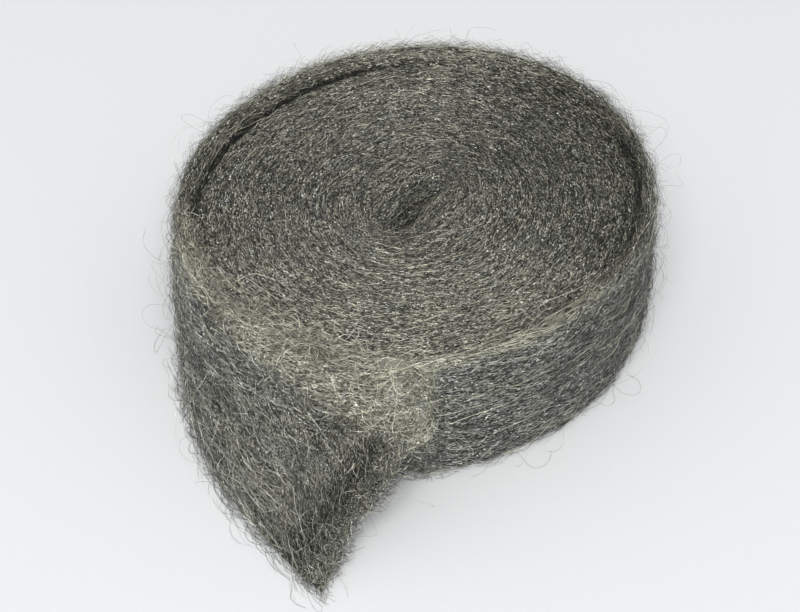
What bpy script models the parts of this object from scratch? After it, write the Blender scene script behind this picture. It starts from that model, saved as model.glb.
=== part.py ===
"""A roll of steel wool ribbon lying on its end face, with the ribbon's torn end flaring out at the front.

Metres, +Z up. The origin is on the underside, on the roll's axis. The ribbon is wound counterclockwise
seen from above, from a flattened fold at the core to a loose outer turn that peels off at the front left.
"""

import math

import bmesh
import bpy
from mathutils import Matrix, Vector

# Driving dimensions
ROLL_LONG = 0.1676
ROLL_SHORT = 0.1524
LONG_AXIS_DEG = 53.0
PACK_HEIGHT = 0.0455
RIM_RISE = 0.0045
TURNS = 20
OUTER_TURN = 0.0068
GROOVE_DEPTH = 0.0015
CORE_SLIT_LENGTH = 0.032
CORE_SLIT_WIDTH = 0.0024
CORE_SLIT_DEPTH = 0.0085
TAIL_REACH = 0.049
TAIL_THICKNESS = 0.0070

# The winding, by lines that run along the ribbon: the groove between two turns, then the two sides of a turn
PEEL_DEG = 200.0
STEPS_PER_TURN = 40
LINE_FRACTIONS = (0.0, 0.28, 0.72)
LINES_PER_TURN = len(LINE_FRACTIONS)
MEAN_RADIUS = (ROLL_LONG + ROLL_SHORT) / 4
TURN_PITCH = (MEAN_RADIUS - OUTER_TURN) / TURNS
FIRST_TURN = CORE_SLIT_WIDTH / 2 / TURN_PITCH
LOOSER_ON_RIGHT = 0.027

# The outer turn, by the share of it that is wound
OUTER_TURN_FULL = 0.20
RIM_RISES = (0.12, 0.25)
OUTER_TURN_TAPERS = (0.92, 1.0)
OUTER_TURN_TAPER = 0.0014

# The crease inside the raised outer turn, deepest over two spans (their middle and half width in degrees)
CREASE_BACK_DEPTH = 0.0070
CREASE_RIGHT_DEPTH = 0.0025
CREASE_LEAST_DEPTH = 0.0012
CREASE_BACK_SPAN = (142.0, 40.0)
CREASE_RIGHT_SPAN = (0.0, 30.0)

# The rim and the wall: each row of the wall is a share of the height and of the swell
RIM_HEIGHT = PACK_HEIGHT + RIM_RISE
RIM_LEAN = 0.0012
RIM_DROP = 0.0035
WALL_SWELL = 0.0012
WALL_ROWS = ((0.82, 0.6), (0.63, 0.8), (0.44, 0.9), (0.25, 1.0), (0.06, 1.0))
FOOT_CHAMFER = 0.0010
FLAT_FOOT_TURNS = (1, 3)

# Matted tufts that stand off the wall and roughen the crests, and the waves per step and row that place them
TUFT_HEIGHT = 0.0010
TUFT_WAVES = ((0.43, 0.31), (0.29, -0.37))
CREST_SINK = 0.0009
CREST_WAVES = ((0.31, 0.37), (0.19, -0.23))

# The flattened fold at the core, which the turns round it follow less and less
CORE_REACH = 1.1 * CORE_SLIT_LENGTH / 2
CORE_BEND = 0.0018
CORE_BEND_REACH = 0.012
CORE_DIP = 0.0026
CORE_DIP_LINES = 3.5

# The tail, by its share along the ribbon from the peel and its row from the foot (0) to the top edge (1)
TAIL_START_DEG = 184.0
TAIL_STEPS = 22
TAIL_ROWS = 8
TAIL_GRIP = 0.0068
TAIL_GRIPS = (0.0, 0.5)
TAIL_PARTS = (0.50, 0.64)
TAIL_INSET = 0.0006
TAIL_EMERGES = (0.0, 0.25)
TAIL_CURL = 2.4
TAIL_FOOT = 0.0005
TAIL_TOP_RISE = 0.0020
TAIL_TOP = PACK_HEIGHT + TAIL_TOP_RISE
TAIL_SINKS = (0.0, 0.4)
TAIL_SHOULDER = 0.0034
TAIL_SHOULDERS = (0.0, 0.3)
TAIL_ROUND = 0.0028
TAIL_ROUND_ROW = 0.75
TAIL_BULGE = 0.0040
TAIL_BULGES = (0.3, 0.8)

# The valley that runs up the tail beside the torn end
VALLEY_AT = 0.84
VALLEY_SPREAD = 0.07
VALLEY_DEPTH = 0.0045
VALLEY_FOOT_ROWS = (0.0, 0.2)
VALLEY_TOP_ROWS = (0.3, 0.7)

# Long soft ridges that run down the tail towards its tip
TAIL_RIDGE_HEIGHT = 0.0009
TAIL_RIDGES = 2.7
TAIL_RIDGE_SLANT = 1.3
TAIL_RIDGE_STARTS = (0.1, 0.4)

# The torn end, from the tip on the floor to the flap that lies against the roll
TIP_DEG = 258.5
FLAP_DEG = 273.5
FLAP_REACH = 0.0020
FLAP_ROW = 0.625
FLAP_SLANT = 1.65
TEAR_DEG = 0.9
TEAR_WAVES = 3.5

STEEL_WOOL = (0.115, 0.112, 0.100, 1.0)
METALLIC = 0.8
ROUGHNESS = 0.55


def ease(value, limits):
    """Rises smoothly from 0 at the first limit to 1 at the second."""
    start, full = limits
    x = min(1.0, max(0.0, (value - start) / (full - start)))
    return x * x * (3.0 - 2.0 * x)


def hump(angle_deg, middle, half_width):
    """A smooth hump of height 1 over a span of angles, for what comes and goes round the roll."""
    off = (angle_deg - middle + 180.0) % 360.0 - 180.0
    return math.exp(-((off / half_width) ** 2))


def unevenness(step, row, waves):
    """Between -1 and 1: two crossing sets of waves, for what differs from place to place."""
    total = sum(math.sin(2.0 * math.pi * (by_step * step + by_row * row)) for by_step, by_row in waves)
    return total / len(waves)


def oval_radius(angle_deg):
    """Radius of the slightly oval roll."""
    a = math.radians(angle_deg - LONG_AXIS_DEG)
    return 1.0 / math.hypot(math.cos(a) / (ROLL_LONG / 2), math.sin(a) / (ROLL_SHORT / 2))


def pitch_at(angle_deg):
    """Radial width of one turn of the tight pack."""
    looser = LOOSER_ON_RIGHT * math.cos(math.radians(angle_deg))
    return TURN_PITCH * (oval_radius(angle_deg) / MEAN_RADIUS + looser)


def taper(wound):
    """How far the end of the outer turn shrinks, so that the tail's first section covers it."""
    return OUTER_TURN_TAPER * ease(wound, OUTER_TURN_TAPERS)


def winding_radius(turn, wound, angle_deg):
    """Radius of a point some turns out, where the given share of the last turn has been wound."""
    pack_turns = FIRST_TURN + TURNS - 1 + wound
    pitch = pitch_at(angle_deg)
    if turn <= pack_turns:
        return pitch * turn
    crease = pitch * pack_turns
    outside = crease + pitch
    outside += (oval_radius(angle_deg) - outside) * ease(wound, (0.0, OUTER_TURN_FULL))
    outside -= taper(wound)
    return crease + (outside - crease) * (turn - pack_turns)


def place(radius, angle_deg, height):
    """A point of the roll, with the turns near the core stretched along a bent slit."""
    a = math.radians(angle_deg - LONG_AXIS_DEG)
    stretch = CORE_SLIT_LENGTH / 2 * math.exp(-radius / CORE_REACH)
    along = (radius + stretch) * math.cos(a)
    bend = CORE_BEND * math.exp(-((radius / CORE_BEND_REACH) ** 2))
    across = radius * math.sin(a) + bend * math.sin(2 * math.pi * along / CORE_SLIT_LENGTH)
    return Matrix.Rotation(math.radians(LONG_AXIS_DEG), 3, "Z") @ Vector((along, across, height))


def crease_depth(angle_deg):
    back = CREASE_BACK_DEPTH * hump(angle_deg, *CREASE_BACK_SPAN)
    right = CREASE_RIGHT_DEPTH * hump(angle_deg, *CREASE_RIGHT_SPAN)
    return CREASE_LEAST_DEPTH + back + right


def top_height(line, wound, angle_deg):
    """Height of the upper end of the ribbon along one winding line."""
    crease_line = LINES_PER_TURN * (TURNS if wound == 1.0 else TURNS - 1)
    if line < crease_line:
        dip = CORE_DIP * math.exp(-((line / CORE_DIP_LINES) ** 2))
        sunk = CREST_SINK * (0.5 + 0.5 * unevenness(STEPS_PER_TURN * wound, line, CREST_WAVES))
        return PACK_HEIGHT - dip - (GROOVE_DEPTH if line % LINES_PER_TURN == 0 else sunk)
    rim = PACK_HEIGHT + (RIM_HEIGHT - PACK_HEIGHT) * ease(wound, RIM_RISES) - taper(wound)
    crease = PACK_HEIGHT - crease_depth(angle_deg)
    return (crease, rim - RIM_LEAN, rim, rim - RIM_DROP)[line - crease_line]


def foot_height(line):
    """Height of the lower end of the ribbon along one winding line: flat, with grooves between turns."""
    turn, part = divmod(line, LINES_PER_TURN)
    return 0.0 if part else GROOVE_DEPTH * ease(turn, FLAT_FOOT_TURNS)


def wound_disc():
    """The tight pack and the raised outer turn, as one closed solid with spiral ridges on both ends."""
    bm = bmesh.new()
    tops = []
    feet = []
    outer_line = LINES_PER_TURN * TURNS
    for step in range(STEPS_PER_TURN):
        share = step / STEPS_PER_TURN
        angle = PEEL_DEG + 360.0 * share
        last_line = outer_line + (LINES_PER_TURN if step == 0 else 0)
        top = []
        foot = []
        for line in range(last_line + 1):
            turn = FIRST_TURN + line // LINES_PER_TURN + LINE_FRACTIONS[line % LINES_PER_TURN] + share
            wound = 1.0 if step == 0 and line >= outer_line else share
            radius = winding_radius(turn, wound, angle)
            top.append(bm.verts.new(place(radius, angle, top_height(line, wound, angle))))
            foot_radius = radius - (FOOT_CHAMFER if line == last_line else 0.0)
            foot.append(bm.verts.new(place(foot_radius, angle, foot_height(line))))
        tops.append(top)
        feet.append(foot)

    for here in range(STEPS_PER_TURN):
        beyond = (here + 1) % STEPS_PER_TURN
        shift = LINES_PER_TURN if beyond == 0 else 0
        for line in range(outer_line):
            for grid, upward in ((tops, True), (feet, False)):
                face = [
                    grid[here][line],
                    grid[here][line + 1],
                    grid[beyond][line + 1 + shift],
                    grid[beyond][line + shift],
                ]
                bm.faces.new(face if upward else face[::-1])

    outer_top = rim_loop(tops, outer_line)
    outer_foot = rim_loop(feet, outer_line)
    wall_loop = outer_top
    for row, (height, swell) in enumerate(WALL_ROWS):
        ring = []
        for step, vert in enumerate(outer_top):
            outward = Vector((vert.co.x, vert.co.y, 0.0)).normalized()
            tuft = TUFT_HEIGHT * unevenness(step, row, TUFT_WAVES)
            spot = vert.co + outward * (WALL_SWELL * swell + tuft)
            ring.append(bm.verts.new((spot.x, spot.y, RIM_HEIGHT * height)))
        bridge(bm, wall_loop, ring)
        wall_loop = ring
    bridge(bm, wall_loop, outer_foot)

    slit_top = rim_loop(tops, 0)
    slit_floor = []
    for vert in slit_top:
        slit_floor.append(bm.verts.new((vert.co.x, vert.co.y, PACK_HEIGHT - CORE_SLIT_DEPTH)))
    bridge(bm, slit_floor, slit_top)
    bm.faces.new(slit_floor)
    bm.faces.new(rim_loop(feet, 0)[::-1])
    return finished_mesh(bm, "wound_disc")


def rim_loop(grid, line):
    """The closed loop of vertices along one winding line, with the radial step at the peel."""
    loop = [column[line] for column in grid]
    for back in range(LINES_PER_TURN):
        loop.append(grid[0][line + LINES_PER_TURN - back])
    return loop


def bridge(bm, upper, lower):
    """Quads between two loops that run counterclockwise seen from above, facing away from the axis."""
    for i, vert in enumerate(upper):
        following = (i + 1) % len(upper)
        bm.faces.new((vert, lower[i], lower[following], upper[following]))


def torn_end(row):
    """Where the ribbon ends at one row across its width (0 at the foot, 1 at the top edge)."""
    tear = TEAR_DEG * math.sin(2.0 * math.pi * TEAR_WAVES * row)
    angle = TIP_DEG + (FLAP_DEG - TIP_DEG) * min(1.0, row / FLAP_ROW) ** FLAP_SLANT + tear
    reach = FLAP_REACH + (TAIL_REACH - FLAP_REACH) * (1.0 - row) ** 2
    return angle, reach


def tail_point(along, row, inward):
    """A point of the tail, which leaves the roll tangentially and leans its top edge on it.

    Loose wool fills the narrow end of the gap behind the tail, up to where the tail parts from the roll.
    """
    end_angle, end_reach = torn_end(row)
    angle = TAIL_START_DEG + (end_angle - TAIL_START_DEG) * along
    leaning_reach = end_reach * along**TAIL_CURL
    top = RIM_HEIGHT - RIM_LEAN
    top += (TAIL_TOP - top) * ease(along, TAIL_SINKS)
    height = TAIL_FOOT + (top - TAIL_FOOT) * row

    if inward:
        shoulder = ease(along, TAIL_SHOULDERS) if row == 1.0 else 0.0
        thickness = TAIL_GRIP + (TAIL_THICKNESS - TAIL_GRIP) * ease(along, TAIL_GRIPS)
        offset = -thickness - TAIL_SHOULDER * shoulder
        height += (PACK_HEIGHT + TAIL_FOOT - height) * shoulder
    else:
        past_round = max(0.0, row - TAIL_ROUND_ROW) / (1.0 - TAIL_ROUND_ROW)
        offset = -TAIL_ROUND * past_round**2
    offset += TAIL_BULGE * math.sin(math.pi * row) * ease(along, TAIL_BULGES)
    offset -= valley_depth(along, row)
    if 0.0 < row < 1.0 and not inward:
        ridge = math.sin(2.0 * math.pi * (TAIL_RIDGES * row + TAIL_RIDGE_SLANT * along))
        offset += TAIL_RIDGE_HEIGHT * ridge * ease(along, TAIL_RIDGE_STARTS)

    lean = math.atan2(leaning_reach, top)
    out = math.cos(lean) * offset
    up = math.sin(lean) * offset if 0.0 < row < 1.0 else 0.0
    if inward:
        out -= leaning_reach * (1.0 - ease(along, TAIL_PARTS))
    emerged = TAIL_INSET * (2.0 * ease(along, TAIL_EMERGES) - 1.0)
    radius = oval_radius(angle) + leaning_reach + emerged + out
    a = math.radians(angle)
    return Vector((radius * math.cos(a), radius * math.sin(a), max(TAIL_FOOT, height + up)))


def valley_depth(along, row):
    """Depth of the fold beside the torn end, which fades at the foot and towards the top edge."""
    across = math.exp(-(((along - VALLEY_AT) / VALLEY_SPREAD) ** 2))
    return VALLEY_DEPTH * across * ease(row, VALLEY_FOOT_ROWS) * (1.0 - ease(row, VALLEY_TOP_ROWS))


def tail():
    """The last length of ribbon, lofted between a section that grips the roll and the torn end."""
    bm = bmesh.new()
    sections = []
    for step in range(TAIL_STEPS + 1):
        along = step / TAIL_STEPS
        section = []
        for row in range(TAIL_ROWS + 1):
            section.append(bm.verts.new(tail_point(along, row / TAIL_ROWS, False)))
        for row in range(TAIL_ROWS, -1, -1):
            section.append(bm.verts.new(tail_point(along, row / TAIL_ROWS, True)))
        sections.append(section)
    for here, beyond in zip(sections, sections[1:]):
        for i, vert in enumerate(here):
            following = (i + 1) % len(here)
            bm.faces.new((vert, beyond[i], beyond[following], here[following]))
    for section, outward in ((sections[0], True), (sections[-1], False)):
        for row in range(TAIL_ROWS):
            opposite = len(section) - 1 - row
            face = (section[row], section[row + 1], section[opposite - 1], section[opposite])
            bm.faces.new(face if outward else face[::-1])
    return finished_mesh(bm, "tail")


def finished_mesh(bm, name):
    bmesh.ops.triangulate(bm, faces=[face for face in bm.faces if len(face.verts) > 3])
    mesh = bpy.data.meshes.new(name)
    bm.to_mesh(mesh)
    bm.free()
    return mesh


def steel_wool():
    material = bpy.data.materials.new("steel_wool")
    material.use_nodes = True
    shader = material.node_tree.nodes["Principled BSDF"]
    shader.inputs["Base Color"].default_value = STEEL_WOOL
    shader.inputs["Metallic"].default_value = METALLIC
    shader.inputs["Roughness"].default_value = ROUGHNESS
    return material


def collection(name):
    made = bpy.data.collections.new(name)
    bpy.context.scene.collection.children.link(made)
    return made


def build():
    for thing in list(bpy.data.objects):
        bpy.data.objects.remove(thing)

    roll = bpy.data.objects.new("steel_wool_roll", wound_disc())
    collection("steel_wool_roll").objects.link(roll)
    roll.data.materials.append(steel_wool())

    tail_shape = bpy.data.objects.new("tail_shape", tail())
    tail_shape.hide_render = True
    tail_shape.display_type = "WIRE"
    collection("cutters").objects.link(tail_shape)

    union = roll.modifiers.new("join_tail", "BOOLEAN")
    union.operation = "UNION"
    union.solver = "EXACT"
    union.object = tail_shape


build()
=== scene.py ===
"""The looks of a roll of steel wool: a matted body, the fibres on it and the hairs that stand off it."""

import math

import bmesh
import bpy
import numpy as np
from mathutils import Matrix, Vector, kdtree


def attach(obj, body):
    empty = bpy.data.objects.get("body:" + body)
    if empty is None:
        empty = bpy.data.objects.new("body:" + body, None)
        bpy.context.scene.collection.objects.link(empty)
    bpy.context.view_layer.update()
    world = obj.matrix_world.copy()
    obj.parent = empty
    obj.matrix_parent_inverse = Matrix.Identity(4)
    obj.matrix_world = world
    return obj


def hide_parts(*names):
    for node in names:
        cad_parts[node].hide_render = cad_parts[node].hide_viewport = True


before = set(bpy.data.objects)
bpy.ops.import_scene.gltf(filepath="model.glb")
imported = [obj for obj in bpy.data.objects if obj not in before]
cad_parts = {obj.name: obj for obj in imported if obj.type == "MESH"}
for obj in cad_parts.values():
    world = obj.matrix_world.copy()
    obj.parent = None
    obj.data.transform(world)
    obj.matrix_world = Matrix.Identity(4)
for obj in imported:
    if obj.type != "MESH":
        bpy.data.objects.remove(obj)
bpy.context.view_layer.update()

# Sizes of the roll that the fibres follow, in metres and degrees
ROLL_LONG = 0.1676
ROLL_SHORT = 0.1524
LONG_AXIS_DEG = 53.0
TURN_PITCH = 0.00366
LOOSER_ON_RIGHT = 0.027
PEEL_DEG = 200.0
CORE_SLIT_LENGTH = 0.032
CORE_SLIT_WIDTH = 0.0024
CORE_REACH = 0.0176
CORE_RADIUS = 0.018
CORE_SMALLEST_RADIUS = 2e-4
TAIL_START_DEG = 184.0
TAIL_SPREAD_DEG = 110.0
TAIL_LEAST_ANGLE = 0.15
TAIL_CURL = 2.4
TAIL_DRAWN_TO_TIP = 0.85
TAIL_FAN = 0.06
FRAYED_ACROSS = 3.0
TAIL_TIP = (-0.0263, -0.1292, 0.0)

# Marks that follow the photographed roll: angles in degrees, radii and heights in metres
PALE_BAND_FOOT = (
    (185, 0.0465), (220, 0.0445), (231, 0.0435), (243, 0.0410),
    (252, 0.0350), (260, 0.0295), (268, 0.0280), (274, 0.0290),
)
PALE_BAND_INSIDE = ((180, 0.0733), (187, 0.0701), (202, 0.0666), (248, 0.0675), (262, 0.0703), (273, 0.0777))
FOLD_FOOT_DEG = 252.0
FOLD_DEG_PER_METRE = 385.0
OUTERMOST_GROOVE = 21.5
TORN_END_REACH = 0.006
TORN_END_FROM_DEG = 252.0
UNDERSIDE_BELOW = 0.002

# From where to where a share of the roll grows from 0 to 1. Heights, radii, distances and places along X and
# Y are in metres, angles round the roll in degrees, and slopes are parts of a unit normal.
SPANS = {
    "slope of the top": (0.25, 0.65),
    "slope of the underside": (0.75, 0.95),
    "slope outwards": (0.0, 0.3),
    "angle where the tail leaves": (198.0, 208.0),
    "angle where the tail is torn off": (275.0, 277.0),
    "distance past the drum": (-0.004, 0.0005),
    "radius of round turns": (0.035, 0.055),
    "distance of the tail from the drum": (0.002, 0.010),
    "height of the drawn tail": (0.020, 0.042),
    "angle past the fold": (-1.0, 1.5),
    "height of the torn end": (0.026, 0.032),
    "height of the fold": (0.026, 0.034),
    "height of the tail's straight fibres": (0.034, 0.036),
    "height over the band's foot": (-0.002, 0.002),
    "radius past the band's inside": (-0.0015, 0.0015),
    "angle where the band starts": (182.0, 198.0),
    "angle where the band ends": (274.5, 276.0),
    "angle of the band's palest part": (259.0, 267.0),
    "angle where the right starts": (273.0, 277.0),
    "angle where the right fades": (322.0, 350.0),
    "height of the crest": (0.0435, 0.0475),
    "height of the rim": (0.044, 0.048),
    "distance of the rim from the drum's edge": (-0.006, -0.002),
    "height behind the crest": (0.040, 0.044),
    "height of the back's rim": (0.043, 0.047),
    "y of the back's rim": (0.05, 0.07),
    "y of the halo at the back": (0.025, 0.06),
    "distance to the front": (-0.01, 0.045),
    "x of the right": (0.035, 0.07),
    "place across the far right": (0.01, 0.06),
    "y of the back": (0.02, 0.06),
    "x where the back ends": (0.015, 0.055),
    "radius of the core": (0.012, 0.026),
    "radius of the slit": (0.014, 0.019),
    "radius of the slit's dark side": (0.016, 0.028),
    "height of the tail's foot": (0.008, 0.022),
    "distance from the tip": (0.010, 0.016),
    "height of the tail's lower edge": (0.005, 0.013),
    "angle where the lower edge starts": (209.0, 221.0),
    "angle where the lower edge ends": (253.0, 257.0),
    "height of the torn end's foot": (0.009, 0.017),
    "height of the tight wall": (0.040, 0.046),
}

# The middle and the width of marks that fade to both sides: the groove and the crease in turns, the slit in
# metres, and the rest in degrees
GROOVE = (0.0, 0.16)
CREASE = (19.0, 0.32)
FOLD = (0.0, 2.8)
SLIT = (0.0, 0.0013)
DARK_SIDE_OF_SLIT = (-0.0085, 0.006)
EDGE_ON_WALL = (186.0, 22.0)
TIGHT_WALL = (193.0, 22.0)
CREASE_AT_BACK = (142.0, 55.0)

# Counted from half a turn further back, so that the count doesn't start again inside it
CREASE_AT_RIGHT = (184.0, 30.0)
CREASE_SHARE_AT_RIGHT = 0.5
RIGHT_FADES_BY = 0.7
CREST_SHARE = 0.3
CREST_SHARE_AT_RIGHT = 0.7
FAR_RIGHT_SLANT = 0.5
TORN_FACE_SHARE = 0.7
BRUSH_FOOT_SHARE = 0.35

# How much each mark adds to the tone of the wool, to its cool cast and to its curls. The tone carries painted
# light and shade, named at each entry, and is otherwise lighter or darker by region; the cool cast on upright
# wool is painted shade too
TONES_WITH_PAINTED_LIGHT_AND_SHADE = {
    # painted highlight where the band and its end face up to the light
    "band": 0.11,
    "end of the band": 0.15,
    # painted highlight along the crest of the outer turn
    "crest": 0.11,
    "side": 0.01,
    "tail": 0.055,
    "top": -0.03,
    # painted light and shade on the top: lighter at the front, darker to the far right, by how the fibres
    # there catch the light
    "front": 0.10,
    "far right": -0.06,
    "core": 0.03,
    # painted highlight at the back of the top, where the fibres catch the light
    "back": 0.06,
    "foot of the tail": 0.03,
    # painted shadow on one side of the core's slit
    "dark side of the slit": -0.08,
    # painted shade on the right wall
    "right side": -0.11,
    # painted shade on the wall seen edge-on at the left
    "edge-on wall": -0.15,
    # painted shade in the grooves between the turns
    "groove": -0.11,
    # painted shade in the crease inside the rim
    "crease": -0.55,
    # painted shade in the valley of the tail's fold
    "fold": -0.24,
    # painted shade in the core's slit
    "slit": -0.18,
    # painted light on the rim at the back, against the shade on its edge
    "back's rim": 0.03,
}
# The cool cast on upright wool is painted shade; the cast everywhere and at the band's end is a tint
COOLNESS_WITH_PAINTED_SHADE = {"everywhere": 0.1, "shaded upright wool": 0.7, "end of the band": 0.35}
CURLS = {"everywhere": 0.2, "band": 0.6, "tail": 0.2}

# How thickly each kind of fibre stands: what the marks add, then the share that the marks take off
COVERS = {
    "top": ({"top": 1.0}, {"groove": 0.35, "crease": 0.85, "band": 1.0}),
    "side": ({"side": 1.0}, {"band": 1.0}),
    "band": ({"band": 1.0}, {"underside": 1.0}),
    "tail": ({"whole tail": 1.0}, {"band": 1.0, "torn face": 0.75}),
    "torn": ({"torn end": 1.0}, {"fold": 0.6}),
    "rim": ({"rim": 0.7, "halo at the back": 0.8}, {"right": 0.6}),
    "strands": ({"side off the band": 1.0, "crest": 2.0}, {}),
    "edge": ({"lower edge": 1.0}, {}),
    "brush": ({"foot of the torn end": 1.0}, {"underside": 1.0, "fold": 0.8}),
    "open": ({"everywhere": 0.35, "side": 1.0, "whole tail": 0.7}, {"underside": 1.0}),
    "fuzzy": (
        {"everywhere": 0.3, "side": 1.0, "whole tail": 2.2, "rim": 3.0, "torn edge": 5.0},
        {"underside": 1.0, "tight wall": 0.7},
    ),
}
# These fibres get the cool steel, whose cast is partly painted shade
COOL_COVERS = ("side", "tail", "torn", "edge", "brush")

HALVINGS = 30
WOOL_VOXEL = 0.00125
SKIN = 0.0007
SKIN_HEIGHT = 0.004
WARM_GREY = (1.0, 0.978, 0.785)
# The cool cast, mostly painted shade on upright wool
COOL_GREY = (0.97, 0.985, 0.915)
# The white of the painted glints
PAINTED_GLINT_WHITE = (1.0, 1.0, 0.93, 1.0)


# ---------- the way the ribbon runs ----------


def ease(value, start, full):
    x = np.clip((value - start) / (full - start), 0.0, 1.0)
    return x * x * (3.0 - 2.0 * x)


def rising(value, span):
    """0 below a named span, 1 above it and a smooth rise between."""
    return ease(value, *SPANS[span])


def falling(value, span):
    return 1.0 - ease(value, *SPANS[span])


def bell(value, middle, width):
    """1 at the middle, and less to both sides of it."""
    return np.exp(-(((value - middle) / width) ** 2))


def arch(value, middle, half_width):
    """1 at the middle, and 0 from the half width on."""
    return np.clip(1.0 - ((value - middle) / half_width) ** 2, 0.0, 1.0)


def oval_radius(angle):
    """Radius of the slightly oval roll at an angle in radians."""
    a = angle - math.radians(LONG_AXIS_DEG)
    return 1.0 / np.hypot(np.cos(a) / (ROLL_LONG / 2), np.sin(a) / (ROLL_SHORT / 2))


def oval_slope(angle):
    """How fast that radius grows with the angle."""
    step = 1e-4
    return (oval_radius(angle + step) - oval_radius(angle - step)) / (2 * step)


def winding(points):
    """The round radius and angle of each point before the turns were stretched along the core's slit."""
    slit = math.radians(LONG_AXIS_DEG)
    along = math.cos(slit) * points[:, 0] + math.sin(slit) * points[:, 1]
    across = -math.sin(slit) * points[:, 0] + math.cos(slit) * points[:, 1]
    low = np.zeros(len(points))
    high = np.hypot(along, across) + CORE_SLIT_LENGTH
    for _ in range(HALVINGS):
        middle = (low + high) / 2
        long_side = middle + CORE_SLIT_LENGTH / 2 * np.exp(-middle / CORE_REACH)
        outside = (along / long_side) ** 2 + (across / np.maximum(middle, 1e-6)) ** 2 > 1.0
        low = np.where(outside, middle, low)
        high = np.where(outside, high, middle)
    radius = np.maximum((low + high) / 2, CORE_SMALLEST_RADIUS)
    long_side = radius + CORE_SLIT_LENGTH / 2 * np.exp(-radius / CORE_REACH)
    return radius, long_side, np.arctan2(across / radius, along / long_side)


def unwound(points):
    """Where each point would lie if the turns round the core's slit were round."""
    radius, _, a = winding(points)
    a = a + math.radians(LONG_AXIS_DEG)
    return np.stack([radius * np.cos(a), radius * np.sin(a), points[:, 2]], 1)


def unit(vectors):
    return vectors / np.maximum(np.linalg.norm(vectors, axis=1), 1e-9)[:, None]


def ribbon_direction(points):
    """Unit vectors along the ribbon, outwards round the winding, at points of the roll and its tail."""
    slit = math.radians(LONG_AXIS_DEG)
    c, s = math.cos(slit), math.sin(slit)
    radius, long_side, a = winding(points)
    along, across = -long_side * np.sin(a), radius * np.cos(a)
    wound = unit(np.stack([c * along - s * across, s * along + c * across], 1))

    distance = np.hypot(points[:, 0], points[:, 1])
    angle = np.arctan2(points[:, 1], points[:, 0])
    past = np.maximum(distance - oval_radius(angle), 0.0)
    along_tail = np.radians(np.mod(np.degrees(angle) - TAIL_START_DEG, 360.0))
    on_tail = along_tail < math.radians(TAIL_SPREAD_DEG)
    leaving = np.where(on_tail, TAIL_CURL * past / np.maximum(along_tail, TAIL_LEAST_ANGLE), 0.0)
    outward = oval_slope(angle) * distance / oval_radius(angle) + leaving
    radial = np.stack([np.cos(angle), np.sin(angle)], 1)
    tangent = np.stack([-np.sin(angle), np.cos(angle)], 1)
    outer = unit(radial * outward[:, None] + tangent * distance[:, None])
    share = rising(distance, "radius of round turns")[:, None]
    flat = unit(wound * (1.0 - share) + outer * share)
    along = np.concatenate([flat, np.zeros((len(flat), 1))], 1)
    drawn_out = on_tail * rising(past, "distance of the tail from the drum")
    drawn_out = drawn_out * falling(points[:, 2], "height of the drawn tail")
    to_tip = unit(np.array(TAIL_TIP) - points)
    return unit(along + (to_tip - along) * TAIL_DRAWN_TO_TIP * drawn_out[:, None])


def straight_lay(points, core, torn):
    """How far along the fibres a point is and two distances across them, where they don't follow the winding.

    On the tail they fan out from its tip, and at its torn end they lie any way. In the core they run along
    the slit.
    """
    off = points - np.array(TAIL_TIP)
    distance = np.maximum(np.linalg.norm(off, axis=1), 1e-4)
    direction = off / distance[:, None] * TAIL_FAN
    on_tail = np.stack([distance, direction[:, 0], direction[:, 2]], 1)
    c, s = math.cos(math.radians(LONG_AXIS_DEG)), math.sin(math.radians(LONG_AXIS_DEG))
    x, y, z = points.T
    in_core = np.stack([c * x + s * y, c * y - s * x, z], 1)
    frayed = np.stack([x * FRAYED_ACROSS, y, z], 1)
    return np.where(core[:, None], in_core, np.where(torn[:, None], frayed, on_tail))


def turn_shares(points):
    """Where each point lies across its turn, 0 and 1 in the grooves, and how many turns out it is."""
    radius, _, a = winding(points)
    degrees = np.degrees(a) + LONG_AXIS_DEG
    oval = oval_radius(np.radians(degrees))
    mean = (ROLL_LONG + ROLL_SHORT) / 4
    pitch = TURN_PITCH * (oval / mean + LOOSER_ON_RIGHT * np.cos(np.radians(degrees)))
    turns = radius / pitch - CORE_SLIT_WIDTH / 2 / TURN_PITCH - np.mod(degrees - PEEL_DEG, 360.0) / 360.0
    return np.mod(turns, 1.0), turns


# ---------- node trees, written as calls ----------


class Tree:
    """A node tree under construction. A value given to an input is a link if it is a socket."""

    def __init__(self, tree):
        self.tree = tree

    def add(self, kind, inputs=None, **settings):
        node = self.tree.nodes.new(kind)
        for name, value in settings.items():
            setattr(node, name, value)
        for name, value in (inputs or {}).items():
            self.feed(node.inputs[name], value)
        return node

    def feed(self, socket, value):
        if isinstance(value, bpy.types.Node):
            value = first_output(value)
        if isinstance(value, bpy.types.NodeSocket):
            self.tree.links.new(value, socket)
        else:
            socket.default_value = value

    def number(self, operation, a, b=0.0):
        """Maths on numbers."""
        return self.add("ShaderNodeMath", {0: a, 1: b}, operation=operation)

    def vector(self, operation, a, b=(0.0, 0.0, 0.0)):
        """Maths on vectors."""
        return self.add("ShaderNodeVectorMath", {0: a, 1: b}, operation=operation)

    def times(self, vector, factor):
        return self.add("ShaderNodeVectorMath", {0: vector, "Scale": factor}, operation="SCALE")

    def mapped(self, value, start, end, low, high):
        """A number moved from one range to another, and kept inside it."""
        inputs = {"Value": value, "From Min": start, "From Max": end, "To Min": low, "To Max": high}
        return self.add("ShaderNodeMapRange", inputs)


def first_output(node):
    return next(socket for socket in node.outputs if socket.enabled)


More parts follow.
